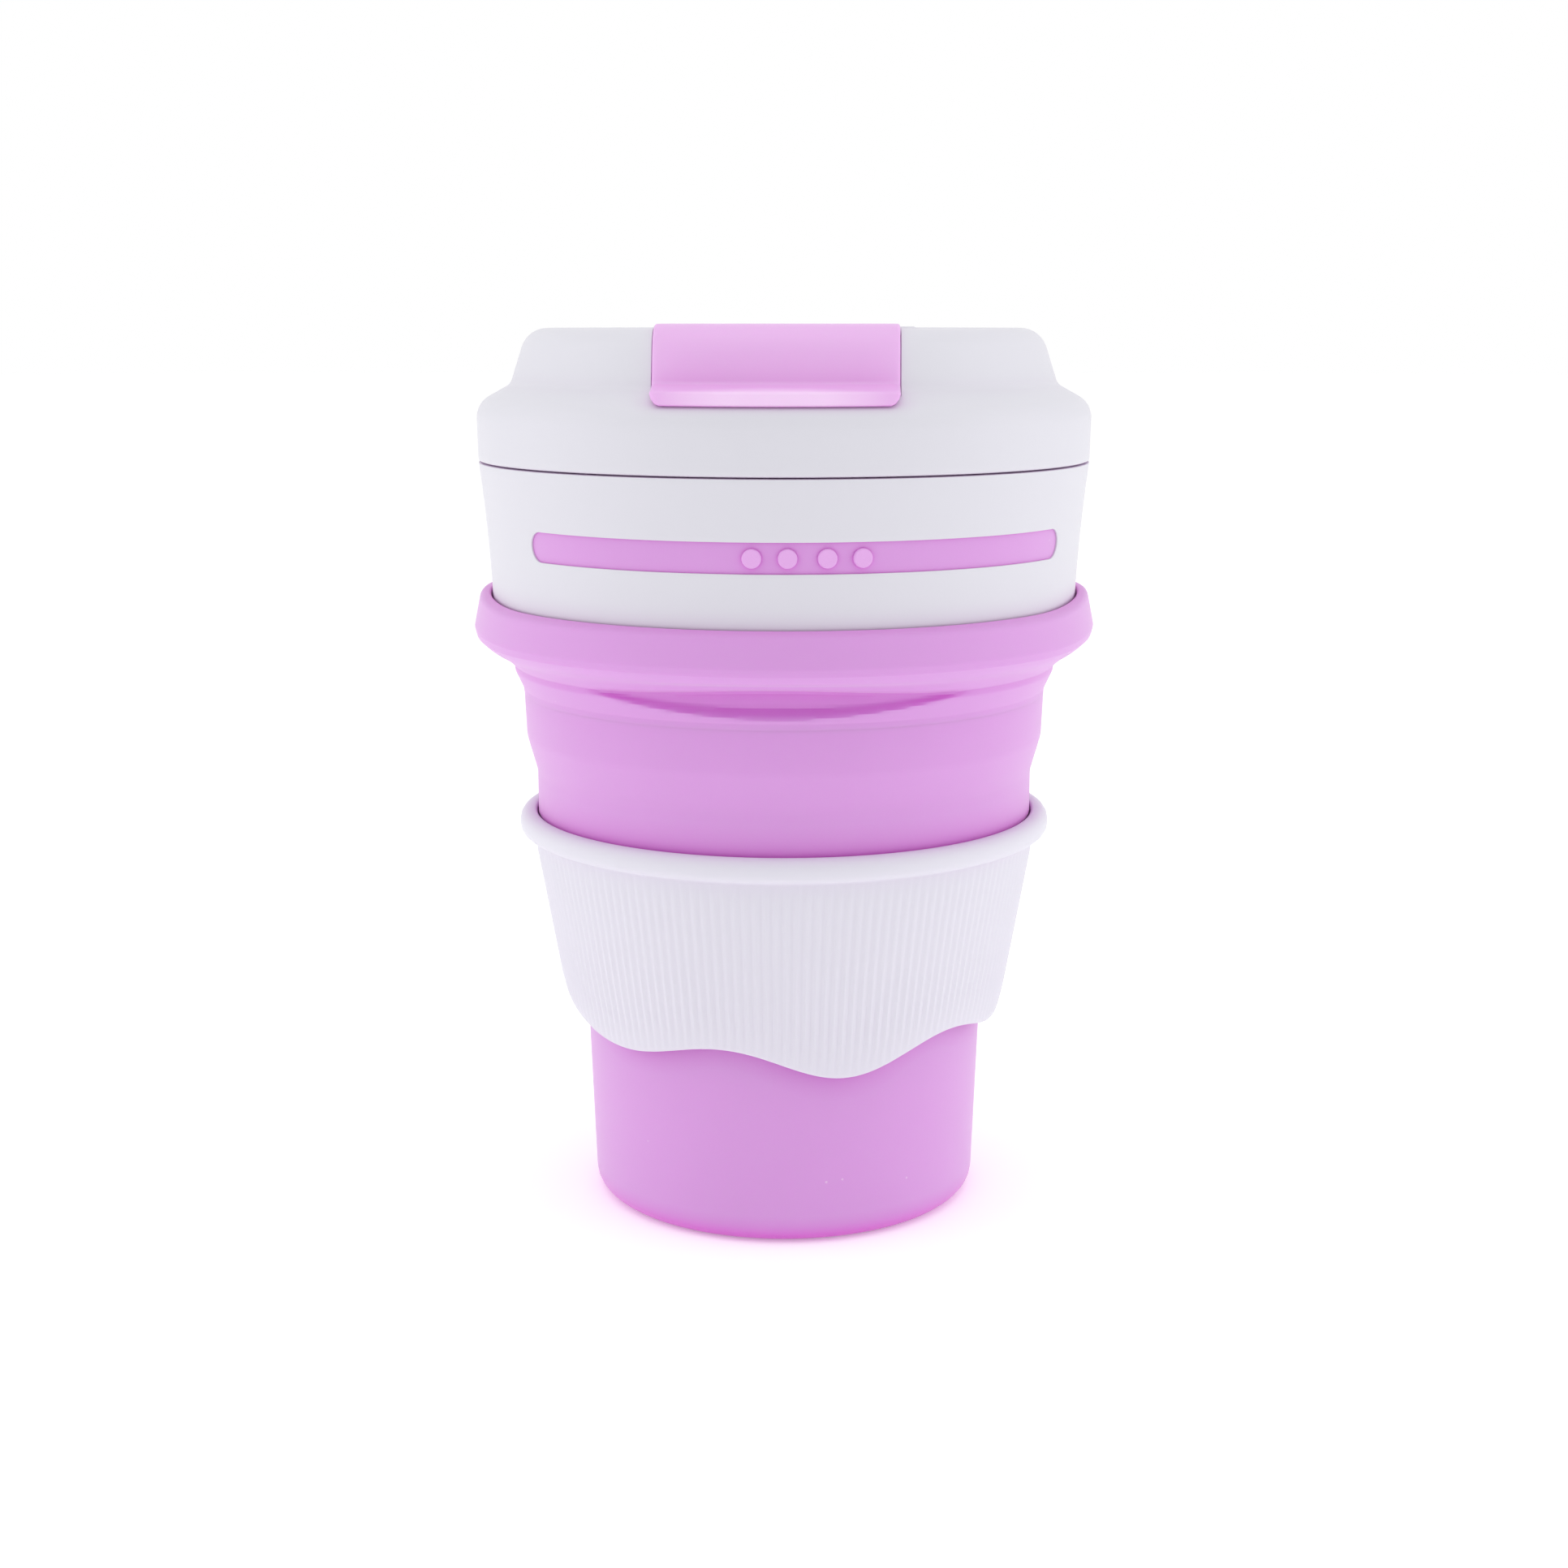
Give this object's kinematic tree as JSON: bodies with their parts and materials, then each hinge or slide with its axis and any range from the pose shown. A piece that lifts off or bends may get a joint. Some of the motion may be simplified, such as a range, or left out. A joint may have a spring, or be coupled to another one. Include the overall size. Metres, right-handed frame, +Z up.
{
  "type": "collapsible travel cup",
  "caption": "Collapsible silicone travel cup with a rigid collar, press-on lid with flip tab, and a ribbed grip sleeve with a wavy hem.",
  "frame": {"origin": "centre of the base's underside, which is the centre of the bounding box's bottom", "axes": "+Z up along the cup's axis, -Y towards the front, where the flip tab's finger lip is, +X to the right seen from the front"},
  "size_m": [0.0918, 0.0918, 0.131],
  "materials": {
    "lilac_silicone": "matte, soft, slightly translucent",
    "lilac_plastic": "satin",
    "white_plastic": "satin",
    "white_silicone": "matte, fine ribs",
    "pin_steel": "bright drawn"
  },
  "bodies": {
    "base": {"cup_base": "lilac_silicone", "fold_web_1": "lilac_silicone"},
    "tier_1": {"cup_tier_1": "lilac_silicone", "fold_web_2": "lilac_silicone"},
    "tier_2": {"cup_tier_2": "lilac_silicone", "fold_web_3": "lilac_silicone"},
    "tier_3": {"cup_tier_3": "lilac_silicone", "fold_web_4": "lilac_silicone"},
    "tier_4": {"cup_tier_4": "lilac_silicone", "fold_web_5": "lilac_silicone"},
    "rim": {"cup_rim": "lilac_silicone", "collar": "white_plastic", "accent_stripe": "lilac_silicone"},
    "lid": {"lid_shell": "white_plastic", "tab_hinge_pin": "pin_steel"},
    "tab": {"flip_tab": "lilac_plastic", "sip_plug": "lilac_silicone"},
    "sleeve": {"grip_sleeve": "white_silicone"}
  },
  "joints": [
    {"name": "fold_1", "type": "slide", "parent": "base", "child": "tier_1", "axis": [0, 0, 1], "range_m": [-0.008, 0], "deforming": ["fold_web_1"]},
    {"name": "fold_2", "type": "slide", "parent": "tier_1", "child": "tier_2", "axis": [0, 0, 1], "range_m": [-0.008, 0], "deforming": ["fold_web_2"]},
    {"name": "fold_3", "type": "slide", "parent": "tier_2", "child": "tier_3", "axis": [0, 0, 1], "range_m": [-0.008, 0], "deforming": ["fold_web_3"]},
    {"name": "fold_4", "type": "slide", "parent": "tier_3", "child": "tier_4", "axis": [0, 0, 1], "range_m": [-0.01, 0], "deforming": ["fold_web_4"]},
    {"name": "fold_5", "type": "slide", "parent": "tier_4", "child": "rim", "axis": [0, 0, 1], "range_m": [-0.016, 0], "deforming": ["fold_web_5"]},
    {"name": "lid_lift", "type": "slide", "parent": "rim", "child": "lid", "axis": [0, 0, 1], "range_m": [0, 0.1]},
    {"name": "tab_hinge", "type": "hinge", "parent": "lid", "child": "tab", "pos_m": [0, 0, 0.129], "axis": [-1, 0, 0], "range_deg": [0, 140]},
    {"name": "sleeve_slide", "type": "slide", "parent": "tier_3", "child": "sleeve", "axis": [0, 0, -1], "range_m": [0, 0.025]}
  ],
  "couplings": [
    {"joint": "fold_2", "follows": "fold_1", "ratio": 1},
    {"joint": "fold_3", "follows": "fold_1", "ratio": 1},
    {"joint": "fold_4", "follows": "fold_1", "ratio": 1.25},
    {"joint": "fold_5", "follows": "fold_1", "ratio": 2}
  ]
}
